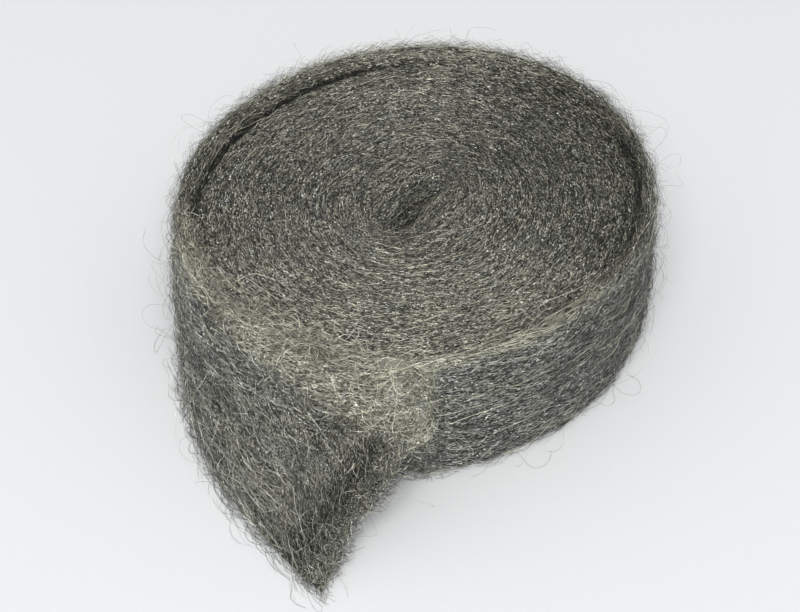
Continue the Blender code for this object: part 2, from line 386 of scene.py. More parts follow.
def fibre_tree(name):
    """Fibres that start on a surface and walk over it along its grain, made as thin closed tubes."""
    group = bpy.data.node_groups.new(name, "GeometryNodeTree")
    t = Tree(group)
    face = group.interface
    face.new_socket("Geometry", in_out="INPUT", socket_type="NodeSocketGeometry")
    face.new_socket("Geometry", in_out="OUTPUT", socket_type="NodeSocketGeometry")
    for label, kind, default in FIBRE_INPUTS:
        made = face.new_socket(label, in_out="INPUT", socket_type="NodeSocket" + kind)
        if default is not None:
            made.default_value = default
    given = t.add("NodeGroupInput").outputs
    wool = given["Geometry"]

    def named(label, kind="FLOAT"):
        return t.add("GeometryNodeInputNamedAttribute", {"Name": label}, data_type=kind)

    def chance(low, high, salt, kind="FLOAT"):
        seed = t.number("ADD", given["Seed"], salt)
        node = t.add("FunctionNodeRandomValue", {"Seed": seed}, data_type=kind)
        lows = [s for s in node.inputs if s.enabled and s.name == "Min"]
        highs = [s for s in node.inputs if s.enabled and s.name == "Max"]
        t.feed(lows[0], low)
        t.feed(highs[0], high)
        return node

    def kept(geometry, label, value, kind="FLOAT", domain="POINT"):
        inputs = {"Geometry": geometry, "Name": label, "Value": value}
        return t.add("GeometryNodeStoreNamedAttribute", inputs, data_type=kind, domain=domain)

    # Where the fibres start
    density = t.number("MULTIPLY", given["Fibres per square metre"], named("cover"))
    spread = t.add(
        "GeometryNodeDistributePointsOnFaces",
        {"Mesh": wool, "Density": density, "Seed": given["Seed"]},
        distribute_method="RANDOM",
    )
    here = t.add("GeometryNodeInputPosition")
    start = spread.outputs["Points"]
    up = spread.outputs["Normal"]
    side = t.add("FunctionNodeRandomValue", {"Seed": given["Seed"]}, data_type="FLOAT")
    against = t.number("ADD", given["Share against the grain"], named("turn_back"))
    sign = t.number("SIGN", t.number("SUBTRACT", side, against))
    grain = t.times(named("grain", "FLOAT_VECTOR"), sign)
    lean = t.number("MULTIPLY", chance(-1.0, 1.0, 1), chance(0.0, 1.0, 2))
    lean = t.number("MULTIPLY", lean, given["Lean"])
    turned = t.add(
        "ShaderNodeVectorRotate", {"Vector": grain, "Axis": up, "Angle": lean}, rotation_type="AXIS_ANGLE"
    )
    rise = t.number("MULTIPLY", chance(0.0, 1.0, 3), given["Rise"])
    way = t.vector("NORMALIZE", t.vector("ADD", turned, t.times(up, rise)))
    start = kept(start, "way", way, "FLOAT_VECTOR")
    start = kept(start, "side", sign)
    start = kept(start, "fibre", t.add("GeometryNodeInputIndex"), "INT")
    start = kept(start, "own", chance(0.0, WOBBLE_FIELDS, 4))
    start = kept(start, "height", t.number("MULTIPLY", chance(0.0, 1.0, 5), given["Height"]))
    axis = t.times(chance((-1.0, -1.0, -1.0), (1.0, 1.0, 1.0), 6, "FLOAT_VECTOR"), BEND_AXIS_TILT)
    start = kept(start, "bend_axis", t.vector("NORMALIZE", t.vector("ADD", up, axis)), "FLOAT_VECTOR")
    start = kept(start, "bend", t.number("MULTIPLY", chance(-1.0, 1.0, 7), given["Bend"]))
    start = kept(start, "stride", t.number("MULTIPLY", chance(*STRIDE_RANGE, 8), given["Step length"]))
    # The fibres' tone takes the wool's pale marks, painted light and shade among them, as far as their
    # Paleness says
    pale = t.number("MULTIPLY", named("pale"), given["Paleness"])
    tone = t.number("ADD", t.number("POWER", chance(0.0, 1.0, 9), given["Tone power"]), pale)
    start = kept(start, "tone", tone)
    start = kept(start, "step", 0, "INT")

    # How they walk
    begin = t.tree.nodes.new("GeometryNodeRepeatInput")
    end = t.tree.nodes.new("GeometryNodeRepeatOutput")
    begin.pair_with_output(end)
    end.repeat_items.new("GEOMETRY", "Trail")
    t.feed(begin.inputs["Iterations"], given["Steps"])
    t.feed(begin.inputs["Geometry"], start)
    t.feed(begin.inputs["Trail"], start)

    def nearest(value, kind):
        inputs = {"Mesh": wool, "Value": value, "Sample Position": here}
        return t.add("GeometryNodeSampleNearestSurface", inputs, data_type=kind)

    ground = t.add("GeometryNodeProximity", {0: wool, "Sample Position": here}, target_element="FACES")
    off = t.vector("SUBTRACT", here, ground.outputs["Position"])
    face_up = nearest(t.add("GeometryNodeInputNormal"), "FLOAT_VECTOR")
    grain_here = nearest(named("grain", "FLOAT_VECTOR"), "FLOAT_VECTOR")
    level = t.add("ShaderNodeVectorMath", {0: off, 1: face_up}, operation="DOT_PRODUCT").outputs["Value"]
    back = t.number("MULTIPLY", t.number("SUBTRACT", named("height"), level), given["Hug"])
    noise = t.add(
        "ShaderNodeTexNoise",
        {"Vector": here, "W": named("own"), "Scale": given["Wobble size"], "Detail": 1.0},
        noise_dimensions="4D",
    )
    wobble = t.vector("SUBTRACT", noise.outputs["Color"], (0.5, 0.5, 0.5))
    wobble = t.times(wobble, given["Wobble"])
    follow = t.times(grain_here, t.number("MULTIPLY", named("side"), given["Follow"]))
    onward = t.add(
        "ShaderNodeVectorRotate",
        {
            "Vector": named("way", "FLOAT_VECTOR"),
            "Axis": named("bend_axis", "FLOAT_VECTOR"),
            "Angle": named("bend"),
        },
        rotation_type="AXIS_ANGLE",
    )
    way = t.vector("ADD", t.vector("ADD", onward, follow), t.vector("ADD", wobble, t.times(face_up, back)))
    way = t.vector("NORMALIZE", way)
    walker = kept(begin.outputs["Geometry"], "way", way, "FLOAT_VECTOR")
    stride = t.times(named("way", "FLOAT_VECTOR"), named("stride"))
    walker = t.add("GeometryNodeSetPosition", {"Geometry": walker, "Offset": stride})
    low = t.add("ShaderNodeSeparateXYZ", {0: here}).outputs["Z"]
    lifted = t.number("MAXIMUM", t.number("SUBTRACT", given["Floor"], low), 0.0)
    pressed = t.number("MINIMUM", t.number("SUBTRACT", given["Ceiling"], low), 0.0)
    kept_in = t.add("ShaderNodeCombineXYZ", {"Z": t.number("ADD", lifted, pressed)})
    walker = t.add("GeometryNodeSetPosition", {"Geometry": walker, "Offset": kept_in})
    walker = kept(walker, "step", t.number("ADD", begin.outputs["Iteration"], 1), "INT")
    trail = t.add("GeometryNodeJoinGeometry")
    t.feed(trail.inputs[0], begin.outputs["Trail"])
    t.feed(trail.inputs[0], walker)
    t.feed(end.inputs["Geometry"], walker)
    t.feed(end.inputs["Trail"], trail)

    # What they are made of
    lines = t.add(
        "GeometryNodePointsToCurves",
        {
            "Points": end.outputs["Trail"],
            "Curve Group ID": named("fibre", "INT"),
            "Weight": named("step", "INT"),
        },
    )
    share = t.add("GeometryNodeSplineParameter").outputs["Factor"]
    lines = kept(lines, "share", share)
    tip = t.number("MULTIPLY", t.number("SUBTRACT", 1.0, share), share)
    slim = t.mapped(tip, 0.0, TIP_SHARE, TIP_WIDTH, 1.0)
    thick = t.number("MULTIPLY", given["Fibre width"], chance(*RADIUS_RANGE, 10))
    thick = t.number("MULTIPLY", slim, thick)
    thick = t.number("MULTIPLY", thick, t.mapped(named("tone"), *BRIGHT_TONES, 1.0, BRIGHT_WIDTH))
    ring = t.add("GeometryNodeCurvePrimitiveCircle", {"Resolution": 3, "Radius": 1.0})
    ring = kept(ring.outputs["Curve"], "round", t.add("GeometryNodeSplineParameter").outputs["Factor"])
    tubes = t.add(
        "GeometryNodeCurveToMesh", {"Curve": lines, "Profile Curve": ring, "Scale": thick, "Fill Caps": True}
    )
    tubes = t.add("GeometryNodeSetShadeSmooth", {"Geometry": tubes})
    across = t.number("MULTIPLY", named("tone"), TONE_ON_MAP)
    across = t.number("ADD", across, t.number("MULTIPLY", named("round"), ROUND_ON_MAP))
    place = t.add("ShaderNodeCombineXYZ", {"X": across, "Y": named("share")})
    tubes = kept(tubes, "OFBake", place, "FLOAT2", "CORNER")
    for label in FIBRE_NOTES:
        tubes = t.add("GeometryNodeRemoveAttribute", {"Geometry": tubes, "Name": label})
    whole = t.add("GeometryNodeRealizeInstances", {"Geometry": tubes})
    finished = t.add("GeometryNodeSetMaterial", {"Geometry": whole, "Material": given["Material"]})
    out = t.add("NodeGroupOutput")
    t.feed(out.inputs["Geometry"], finished)
    return group


BEND_AXIS_TILT = 0.7
WOBBLE_FIELDS = 50.0
STRIDE_RANGE = (0.5, 1.3)
RADIUS_RANGE = (0.35, 0.62)
TIP_SHARE = 0.1
TIP_WIDTH = 0.6
BRIGHT_TONES = (0.6, 1.0)
BRIGHT_WIDTH = 1.35
TONE_ON_MAP = 0.95
ROUND_ON_MAP = 0.002

# What the tree keeps on points and curves, and takes off again at its end
FIBRE_NOTES = (
    "grain", "cover", "pale", "cool", "turn_back", "curly", "straight", "straight_lay", "wound", "way",
    "side", "fibre", "own", "height", "bend_axis", "bend", "stride", "step", "tone", "share", "round", "id",
)

# The tree's inputs: name, kind and default, in metres and radians
FIBRE_INPUTS = (
    ("Fibres per square metre", "Float", 200000.0),
    ("Steps", "Int", 6),
    ("Step length", "Float", 0.004),
    ("Fibre width", "Float", 0.00013),
    ("Lean", "Float", 0.4),
    ("Rise", "Float", 0.1),
    ("Height", "Float", 0.0006),
    ("Hug", "Float", 300.0),
    ("Follow", "Float", 0.3),
    ("Wobble", "Float", 0.6),
    ("Wobble size", "Float", 150.0),
    ("Bend", "Float", 0.1),
    ("Share against the grain", "Float", 0.5),
    ("Paleness", "Float", 1.0),
    ("Tone power", "Float", 1.0),
    ("Floor", "Float", 0.0002),
    ("Ceiling", "Float", 0.0595),
    ("Seed", "Int", 1),
    ("Material", "Material", None),
)


def fibres(name, tree, wool, material, **sizes):
    """One piece of fibres grown on the wool body with the tree's named sizes."""
    carrier = bpy.data.objects.new(name + "_carrier", wool.data)
    bpy.context.scene.collection.objects.link(carrier)
    grow = carrier.modifiers.new("grow", "NODES")
    grow.node_group = tree
    wanted = {"Material": material}
    wanted.update(sizes)
    for item in tree.interface.items_tree:
        if item.in_out == "INPUT" and item.name in wanted:
            grow[item.identifier] = wanted.pop(item.name)
    if wanted:
        raise ValueError("no such input: " + ", ".join(wanted))
    grown = carrier.evaluated_get(bpy.context.evaluated_depsgraph_get())
    mesh = bpy.data.meshes.new_from_object(grown)
    bpy.data.objects.remove(carrier)
    mesh.name = name
    piece = bpy.data.objects.new(name, mesh)
    bpy.context.scene.collection.objects.link(piece)
    return piece


# ---------- the wool body ----------


def wool_body():
    """The matted wool under the loose fibres: the solid's form, remeshed, softened and drawn in a little,
    less at the floor.
    """
    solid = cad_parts["steel_wool_roll"]
    mesh = solid.data.copy()
    mesh.name = "wool_body"
    mesh.materials.clear()
    bm = bmesh.new()
    bm.from_mesh(mesh)
    bmesh.ops.remove_doubles(bm, verts=bm.verts, dist=1e-6)
    bm.to_mesh(mesh)
    bm.free()
    body = bpy.data.objects.new("wool_body", mesh)
    bpy.context.scene.collection.objects.link(body)
    remesh = body.modifiers.new("even_faces", "REMESH")
    remesh.mode = "VOXEL"
    remesh.voxel_size = WOOL_VOXEL
    soften = body.modifiers.new("soften", "SMOOTH")
    soften.factor = 0.5
    soften.iterations = 1
    finished = bpy.data.meshes.new_from_object(body.evaluated_get(bpy.context.evaluated_depsgraph_get()))
    body.modifiers.clear()
    body.data = finished
    finished.name = "wool_body"
    finished.polygons.foreach_set("use_smooth", [True] * len(finished.polygons))
    bpy.data.meshes.remove(mesh)
    points, normals = mesh_points(finished), mesh_normals(finished)
    points -= normals * SKIN * ease(points[:, 2], 0.0, SKIN_HEIGHT)[:, None]
    finished.vertices.foreach_set("co", points.astype(np.float32).ravel())
    finished.update()
    return body


def mesh_points(mesh):
    points = np.empty(len(mesh.vertices) * 3, np.float32)
    mesh.vertices.foreach_get("co", points)
    return points.reshape(-1, 3).astype(float)


def mesh_normals(mesh):
    normals = np.empty(len(mesh.vertices) * 3, np.float32)
    mesh.vertex_normals.foreach_get("vector", normals)
    return normals.reshape(-1, 3).astype(float)


def write_attribute(mesh, name, values, kind="FLOAT"):
    layer = mesh.attributes.get(name) or mesh.attributes.new(name, kind, "POINT")
    key = "vector" if kind == "FLOAT_VECTOR" else "value"
    layer.data.foreach_set(key, np.ascontiguousarray(values, dtype=np.float32).ravel())


def regions(points, normals):
    """Shares from 0 to 1 for the part of the roll that each point belongs to, and its place round it."""
    radius = np.hypot(points[:, 0], points[:, 1])
    degrees = np.mod(np.degrees(np.arctan2(points[:, 1], points[:, 0])), 360.0)
    past = radius - oval_radius(np.radians(degrees))
    facing_up = rising(normals[:, 2], "slope of the top")
    on_tail = rising(degrees, "angle where the tail leaves")
    on_tail = on_tail * falling(degrees, "angle where the tail is torn off")
    on_tail = on_tail * rising(past, "distance past the drum")
    under = rising(-normals[:, 2], "slope of the underside") * (points[:, 2] < UNDERSIDE_BELOW)
    top = facing_up * (1.0 - on_tail)
    side = (1.0 - facing_up) * (1.0 - on_tail) * (1.0 - under)
    return {"radius": radius, "degrees": degrees, "past": past, "top": top, "side": side,
            "tail": on_tail, "under": under, "facing_up": facing_up}


# ---------- finishes ----------


def shader_tree(name):
    material = bpy.data.materials.new(name)
    material.use_nodes = True
    material.node_tree.nodes.remove(material.node_tree.nodes["Principled BSDF"])
    t = Tree(material.node_tree)
    shader = t.add("ShaderNodeBsdfPrincipled")
    t.feed(material.node_tree.nodes["Material Output"].inputs["Surface"], shader)
    return material, t, shader


def colour_ramp(t, value, stops, cast):
    """A ramp of greys with a colour cast."""
    ramp = t.add("ShaderNodeValToRGB", {"Fac": value})
    marks = ramp.color_ramp.elements
    while len(marks) < len(stops):
        marks.new(0.5)
    for mark, (position, grey) in zip(marks, stops):
        mark.position = position
        mark.color = [grey * part for part in cast] + [1.0]
    return ramp


def mixed(t, share, first, second):
    """A colour between two colours."""
    node = t.add("ShaderNodeMix", data_type="RGBA")
    factor, a, b = [socket for socket in node.inputs if socket.enabled]
    for socket, value in ((factor, share), (a, first), (b, second)):
        t.feed(socket, value)
    return first_output(node)


def drawn_steel_fibre(name, cool):
    """Fibre steel whose tone goes by the map's first axis, with painted glints: an uneven shine painted into
    the colour along each fibre.
    """
    material, t, shader = shader_tree(name)
    uv = t.add("ShaderNodeUVMap", uv_map="OFBake")
    stretched = t.vector("MULTIPLY", uv, SHINE_SCALE)
    shine = {"Vector": stretched, "Scale": 1.0, "Detail": 1.0}
    noise = t.add("ShaderNodeTexNoise", shine, noise_dimensions="2D")
    across = t.add("ShaderNodeSeparateXYZ", {0: uv}).outputs["X"]
    uneven = t.number("MULTIPLY", t.number("SUBTRACT", noise.outputs["Fac"], 0.5), SHINE_SHARE)
    tone = t.number("ADD", across, uneven)
    own = t.vector("MULTIPLY", uv, TINT_SCALE)
    tint = t.add("ShaderNodeTexNoise", {"Vector": own, "Scale": 1.0, "Detail": 0.0}, noise_dimensions="2D")
    # The cool share mixes in the cool cast, partly painted shade
    tint = t.mapped(tint.outputs["Fac"], *NOISE_RANGE, cool - TINT_SPREAD, cool + TINT_SPREAD)
    warm, cold = (colour_ramp(t, tone, FIBRE_TONES, cast) for cast in (WARM_GREY, COOL_GREY))
    t.feed(shader.inputs["Base Color"], mixed(t, tint, warm.outputs["Color"], cold.outputs["Color"]))
    shader.inputs["Metallic"].default_value = 0.85
    shader.inputs["Roughness"].default_value = 0.30
    return material


def matted_wool():
    """The dense wool between the fibres.

    Layers of short dashes run with the winding and cross at a slant, as the wool's grain, over a dark ground
    that is painted shade between the fibres. Curls join them where the wool is curly, and painted glints,
    fine bright specks painted into the colour, lie between them.
    """
    material, t, shader = shader_tree("matted_wool")
    wound = t.add("ShaderNodeAttribute", attribute_name="wound").outputs["Vector"]
    part = t.add("ShaderNodeSeparateXYZ", {0: wound})
    x, y, z = (part.outputs[axis] for axis in "XYZ")
    radius = t.number("SQRT", t.number("ADD", t.number("MULTIPLY", x, x), t.number("MULTIPLY", y, y)))
    angle = t.number("ARCTAN2", y, x)
    reach = t.number("MULTIPLY", t.number("GREATER_THAN", radius, OUTER_TURNS_FROM), DASH_REACH)
    reach = t.number("ADD", DASH_REACH, reach)
    on_roll = t.add("ShaderNodeCombineXYZ", {"X": t.number("MULTIPLY", angle, reach), "Y": radius, "Z": z})
    elsewhere = t.add("ShaderNodeAttribute", attribute_name="straight_lay").outputs["Vector"]
    straight = t.add("ShaderNodeAttribute", attribute_name="straight").outputs["Fac"]
    straight = t.number("GREATER_THAN", straight, 0.5)
    lay = t.add("ShaderNodeMix", data_type="VECTOR")
    sockets = [socket for socket in lay.inputs if socket.enabled]
    for socket, value in zip(sockets, (straight, on_roll, elsewhere)):
        t.feed(socket, value)
    part = t.add("ShaderNodeSeparateXYZ", {0: first_output(lay)})
    run, radius, z = (part.outputs[axis] for axis in "XYZ")
    rise = t.number("ADD", radius, z)
    height = None
    for salt, (length, width, slant, shine) in enumerate(DASH_LAYERS):
        slanted = t.number("ADD", run, t.number("MULTIPLY", rise, slant))
        grain = t.add(
            "ShaderNodeCombineXYZ",
            {
                "X": t.number("DIVIDE", slanted, length),
                "Y": t.number("DIVIDE", radius, width),
                "Z": t.number("DIVIDE", z, width),
            },
        )
        noise = t.add(
            "ShaderNodeTexNoise",
            {"Vector": grain, "W": 7.0 * salt, "Scale": 1.0, "Detail": 1.0, "Distortion": 0.5},
            noise_dimensions="4D",
        )
        dash = t.mapped(noise.outputs["Fac"], *DASH_EDGES, 0.0, shine)
        height = dash if height is None else t.number("MAXIMUM", height, dash)
    curly = t.add("ShaderNodeAttribute", attribute_name="curly").outputs["Fac"]
    for salt in range(CURL_LAYERS):
        field = t.add(
            "ShaderNodeTexNoise",
            {"Vector": wound, "W": 3.0 * salt, "Scale": CURL_SIZE, "Detail": 1.0},
            noise_dimensions="4D",
        )
        off = t.number("ABSOLUTE", t.number("SUBTRACT", field.outputs["Fac"], 0.5))
        strand = t.number("MULTIPLY", t.mapped(off, 0.0, CURL_WIDTH, CURL_SHINE, 0.0), curly)
        height = t.number("MAXIMUM", height, strand)
    # Painted glints: bright specks painted into the colour, which fade out where the wool is painted dark
    speck = t.add(
        "ShaderNodeCombineXYZ",
        {
            "X": t.number("DIVIDE", run, GLINT_LENGTH),
            "Y": t.number("DIVIDE", radius, GLINT_WIDTH),
            "Z": t.number("DIVIDE", z, GLINT_WIDTH),
        },
    )
    speck = {"Vector": speck, "W": 91.0, "Scale": 1.0, "Detail": 0.0}
    speck = t.add("ShaderNodeTexNoise", speck, noise_dimensions="4D")
    # The pale marks hold painted light and shade as well as the wool's tone by region
    pale = t.add("ShaderNodeAttribute", attribute_name="pale").outputs["Fac"]
    glint = t.mapped(speck.outputs["Fac"], *GLINT_EDGES, 0.0, 1.0)
    glint = t.number("MULTIPLY", glint, t.mapped(pale, *GLINTS_FROM_TONE, 0.0, 1.0))
    patches = t.add("ShaderNodeTexNoise", {"Vector": wound, "Scale": PATCH_SIZE, "Detail": 2.0})
    tone = t.number("MULTIPLY", height, t.mapped(patches.outputs["Fac"], *NOISE_RANGE, *PATCH_TONES))
    tone = t.number("ADD", tone, pale)
    hue = t.add("ShaderNodeTexNoise", {"Vector": wound, "Scale": HUE_SIZE, "Detail": 2.0})
    # The cool cast: painted shade on upright wool, and a tint elsewhere
    cool = t.add("ShaderNodeAttribute", attribute_name="cool").outputs["Fac"]
    tint = t.number("ADD", cool, t.mapped(hue.outputs["Fac"], *NOISE_RANGE, -TINT_SPREAD, TINT_SPREAD))
    # The ramp's dark low end is painted shade between the fibres
    warm, cold = (colour_ramp(t, tone, BODY_TONES, cast) for cast in (WARM_GREY, COOL_GREY))
    plain = mixed(t, tint, warm.outputs["Color"], cold.outputs["Color"])
    t.feed(shader.inputs["Base Color"], mixed(t, glint, plain, PAINTED_GLINT_WHITE))
    shader.inputs["Metallic"].default_value = 0.4
    shader.inputs["Roughness"].default_value = 0.45
    bump = t.add("ShaderNodeBump", {"Height": height, "Strength": 1.0, "Distance": DASH_HEIGHT})
    t.feed(shader.inputs["Normal"], bump)
    return material


# Each layer's dashes: length and width in metres, slant, and how bright they are
DASH_LAYERS = (
    (0.0018, 0.00038, 0.0, 0.8),
    (0.0018, 0.00040, 0.28, 1.0),
    (0.0018, 0.00040, -0.28, 1.0),
    (0.0010, 0.00042, 0.9, 0.9),
)
DASH_EDGES = (0.53, 0.76)
DASH_REACH = 0.03
DASH_HEIGHT = 0.0004
OUTER_TURNS_FROM = 0.038
CURL_LAYERS = 5
CURL_SIZE = 210.0
CURL_WIDTH = 0.011
CURL_SHINE = 0.8
# Size and edges of the painted glints, and the pale tones over which they fade in
GLINT_LENGTH = 0.0008
GLINT_WIDTH = 0.0005
GLINT_EDGES = (0.69, 0.74)
GLINTS_FROM_TONE = (-0.2, -0.08)
PATCH_SIZE = 60.0
PATCH_TONES = (0.88, 1.08)
HUE_SIZE = 170.0

# Scales across the fibres' map and along it, for the painted glints along the fibres and for their tint
SHINE_SCALE = (250.0, 7.0, 1.0)
SHINE_SHARE = 1.3
TINT_SCALE = (900.0, 1.5, 1.0)
TINT_SPREAD = 0.45
NOISE_RANGE = (0.3, 0.7)

# Positions on each ramp and the grey there. The brightest greys of the fibre ramp are painted glints.
FIBRE_TONES = ((0.0, 0.012), (0.4, 0.10), (0.7, 0.45), (0.82, 0.90), (1.0, 1.0))
# The body ramp's darkest greys are painted shade between the fibres; its brighter greys are the wool's grain
BODY_TONES = ((0.0, 0.008), (0.25, 0.07), (0.6, 0.45), (1.0, 0.8))


# ---------- camera, light and floor ----------


CAMERA_PLACE = (0.0, -0.46871, 0.44838)
CAMERA_RIGHT = (0.99992, 0.01224, 0.00214)
CAMERA_FORWARD = (-0.00733, 0.71993, -0.69401)
LENS_MM = 85.0
BACKDROP = (0.78, 0.78, 0.77, 1.0)
ROOM_LIGHT = 0.60
PAPER_GREYS = ((0.705, 0.722, 0.729, 1.0), (0.745, 0.762, 0.769, 1.0))
PAPER_HALF_WIDTH = 4.0
PAPER_GRAIN = 900.0


def camera():
    lens = bpy.data.cameras.new("camera")
    lens.lens = LENS_MM
    lens.sensor_width = 36.0
    lens.sensor_fit = "HORIZONTAL"
    eye = bpy.data.objects.new("camera", lens)
    right = Vector(CAMERA_RIGHT)
    forward = Vector(CAMERA_FORWARD).normalized()
    up = right.cross(forward).normalized()
    right = forward.cross(up).normalized()
    turned = Matrix((right, up, -forward)).transposed().to_4x4()
    eye.matrix_world = Matrix.Translation(CAMERA_PLACE) @ turned
    bpy.context.scene.collection.objects.link(eye)
    bpy.context.scene.camera = eye


def soft_light(name, place, target, size, watts):
    lamp = bpy.data.lights.new(name, "AREA")
    lamp.shape = "DISK"
    lamp.size = size
    lamp.energy = watts
    stand = bpy.data.objects.new(name, lamp)
    stand.location = place
    stand.rotation_euler = (Vector(target) - Vector(place)).to_track_quat("-Z", "Y").to_euler()
    bpy.context.scene.collection.objects.link(stand)


def studio():
    world = bpy.data.worlds.new("studio")
    world.use_nodes = True
    bpy.context.scene.world = world
    t = Tree(world.node_tree)
    seen = t.add("ShaderNodeBackground", {"Color": BACKDROP, "Strength": 1.0})
    lit = t.add("ShaderNodeBackground", {"Color": (1.0, 1.0, 1.0, 1.0), "Strength": ROOM_LIGHT})
    path = t.add("ShaderNodeLightPath")
    either = t.number("MAXIMUM", path.outputs["Is Camera Ray"], path.outputs["Is Glossy Ray"])
    either = t.number("MAXIMUM", either, path.outputs["Is Transmission Ray"])
    mix = t.add("ShaderNodeMixShader", {0: either, 1: lit, 2: seen})
    t.feed(world.node_tree.nodes["World Output"].inputs["Surface"], mix)
    soft_light("overhead_softbox", place=(-0.085, -1.48, 1.87), target=(0.0, 0.0, 0.0), size=1.53, watts=44.8)

    mesh = bpy.data.meshes.new("floor")
    bm = bmesh.new()
    bmesh.ops.create_grid(bm, x_segments=1, y_segments=1, size=PAPER_HALF_WIDTH)
    bm.to_mesh(mesh)
    bm.free()
    floor = bpy.data.objects.new("floor", mesh)
    bpy.context.scene.collection.objects.link(floor)
    paper, t, shader = shader_tree("pale_paper")
    place = t.add("ShaderNodeTexCoord").outputs["Object"]
    grain = t.add("ShaderNodeTexNoise", {"Vector": place, "Scale": PAPER_GRAIN, "Detail": 2.0})
    ramp = t.add("ShaderNodeValToRGB", {"Fac": grain.outputs["Fac"]})
    for mark, colour in zip(ramp.color_ramp.elements, PAPER_GREYS):
        mark.color = colour
    t.feed(shader.inputs["Base Color"], ramp)
    shader.inputs["Roughness"].default_value = 0.9
    shader.inputs["Specular IOR Level"].default_value = 0.1
    mesh.materials.append(paper)


# ---------- the roll ----------


FIBRE_PIECES = {
    "top_fibres": ("top", {
        "Fibres per square metre": 440000.0, "Steps": 3, "Step length": 0.0013, "Seed": 11,
        "Fibre width": 0.00012, "Lean": 0.6, "Rise": 0.2, "Wobble": 1.0, "Wobble size": 400.0,
        "Height": 0.0006, "Tone power": 1.2,
    }),
    "top_crossing_fibres": ("top", {
        "Fibres per square metre": 130000.0, "Steps": 3, "Step length": 0.0011, "Seed": 21,
        "Fibre width": 0.00012, "Lean": 1.8, "Rise": 0.8, "Wobble": 2.0, "Wobble size": 500.0,
        "Height": 0.0008, "Tone power": 1.1,
    }),
    "side_fibres": ("side", {
        "Fibres per square metre": 220000.0, "Steps": 4, "Step length": 0.0018, "Seed": 12,
        "Fibre width": 0.00012, "Lean": 0.8, "Wobble": 1.4, "Wobble size": 320.0, "Height": 0.0009,
        "Tone power": 1.2,
    }),
    "long_strands": ("strands", {
        "Fibres per square metre": 24000.0, "Steps": 11, "Step length": 0.0024, "Seed": 18,
        "Fibre width": 0.00013, "Lean": 0.7, "Rise": 0.1, "Wobble": 0.7, "Wobble size": 160.0,
        "Height": 0.0014, "Hug": 200.0, "Follow": 0.35, "Bend": 0.1, "Tone power": 0.6,
    }),
    "rim_halo_fibres": ("rim", {
        "Fibres per square metre": 1600000.0, "Steps": 4, "Step length": 0.0019, "Seed": 19,
        "Fibre width": 0.00006, "Lean": 1.0, "Rise": 1.0, "Wobble": 1.4, "Wobble size": 300.0,
        "Height": 0.0034, "Hug": 90.0,
    }),
    "pale_band_fibres": ("band", {
        "Fibres per square metre": 450000.0, "Steps": 7, "Step length": 0.0017, "Seed": 17,
        "Fibre width": 0.00011, "Lean": 2.6, "Rise": 0.3, "Wobble": 1.0, "Wobble size": 330.0,
        "Height": 0.0016, "Bend": 0.55, "Follow": 0.1,
    }),
    "tail_fibres": ("tail", {
        "Fibres per square metre": 370000.0, "Steps": 7, "Step length": 0.0021, "Seed": 13,
        "Fibre width": 0.00011, "Lean": 1.5, "Wobble": 1.7, "Wobble size": 330.0, "Height": 0.0015,
        "Hug": 240.0, "Bend": 0.4, "Follow": 0.25, "Paleness": 0.6, "Tone power": 1.3,
    }),
    "torn_end_fibres": ("torn", {
        "Fibres per square metre": 1150000.0, "Steps": 5, "Step length": 0.0009, "Seed": 16,
        "Fibre width": 0.00011, "Lean": 3.1, "Rise": 1.5, "Wobble": 1.6, "Wobble size": 450.0,
        "Height": 0.0034, "Hug": 70.0, "Follow": 0.0, "Bend": 0.7, "Tone power": 1.2,
    }),
    "tail_edge_fibres": ("edge", {
        "Fibres per square metre": 430000.0, "Steps": 8, "Step length": 0.0026, "Seed": 22,
        "Fibre width": 0.00009, "Lean": 1.1, "Rise": 0.25, "Wobble": 1.2, "Wobble size": 200.0,
        "Height": 0.0019, "Hug": 110.0, "Follow": 0.3, "Bend": 0.25, "Tone power": 0.8,
    }),
    "torn_end_brush_fibres": ("brush", {
        "Fibres per square metre": 700000.0, "Steps": 4, "Step length": 0.0016, "Seed": 23,
        "Fibre width": 0.0001, "Lean": 1.1, "Rise": 0.25, "Wobble": 0.9, "Wobble size": 300.0,
        "Height": 0.0024, "Hug": 15.0, "Follow": 0.0, "Bend": 0.3, "Share against the grain": -1.0,
    }),
    "fuzz_fibres": ("fuzzy", {
        "Fibres per square metre": 50000.0, "Steps": 4, "Step length": 0.0013, "Seed": 15,
        "Fibre width": 0.00007, "Lean": 3.0, "Rise": 1.3, "Wobble": 1.8, "Wobble size": 350.0,
        "Height": 0.0035, "Hug": 50.0,
    }),
    "stray_fibres": ("open", {
        "Fibres per square metre": 14000.0, "Steps": 8, "Step length": 0.0021, "Seed": 14,
        "Fibre width": 0.00007, "Lean": 2.5, "Rise": 0.4, "Wobble": 1.4, "Wobble size": 250.0,
        "Height": 0.0036, "Hug": 75.0, "Follow": 0.08, "Bend": 0.35,
    }),
    "loose_hair_fibres": ("open", {
        "Fibres per square metre": 2200.0, "Steps": 13, "Step length": 0.0026, "Seed": 24,
        "Fibre width": 0.00007, "Lean": 2.5, "Rise": 0.6, "Wobble": 1.3, "Wobble size": 150.0,
        "Height": 0.0065, "Hug": 52.0, "Follow": 0.05, "Bend": 0.42,
    }),
}


def crease_share(degrees):
    """How strongly the crease inside the rim is marked, for its painted shade and its fewer fibres: full at
    the left and back, less on the right.
    """
    at_back = arch(degrees, *CREASE_AT_BACK)
    at_right = arch(np.mod(degrees + 180.0, 360.0), *CREASE_AT_RIGHT)
    return np.maximum(at_back, CREASE_SHARE_AT_RIGHT * at_right)


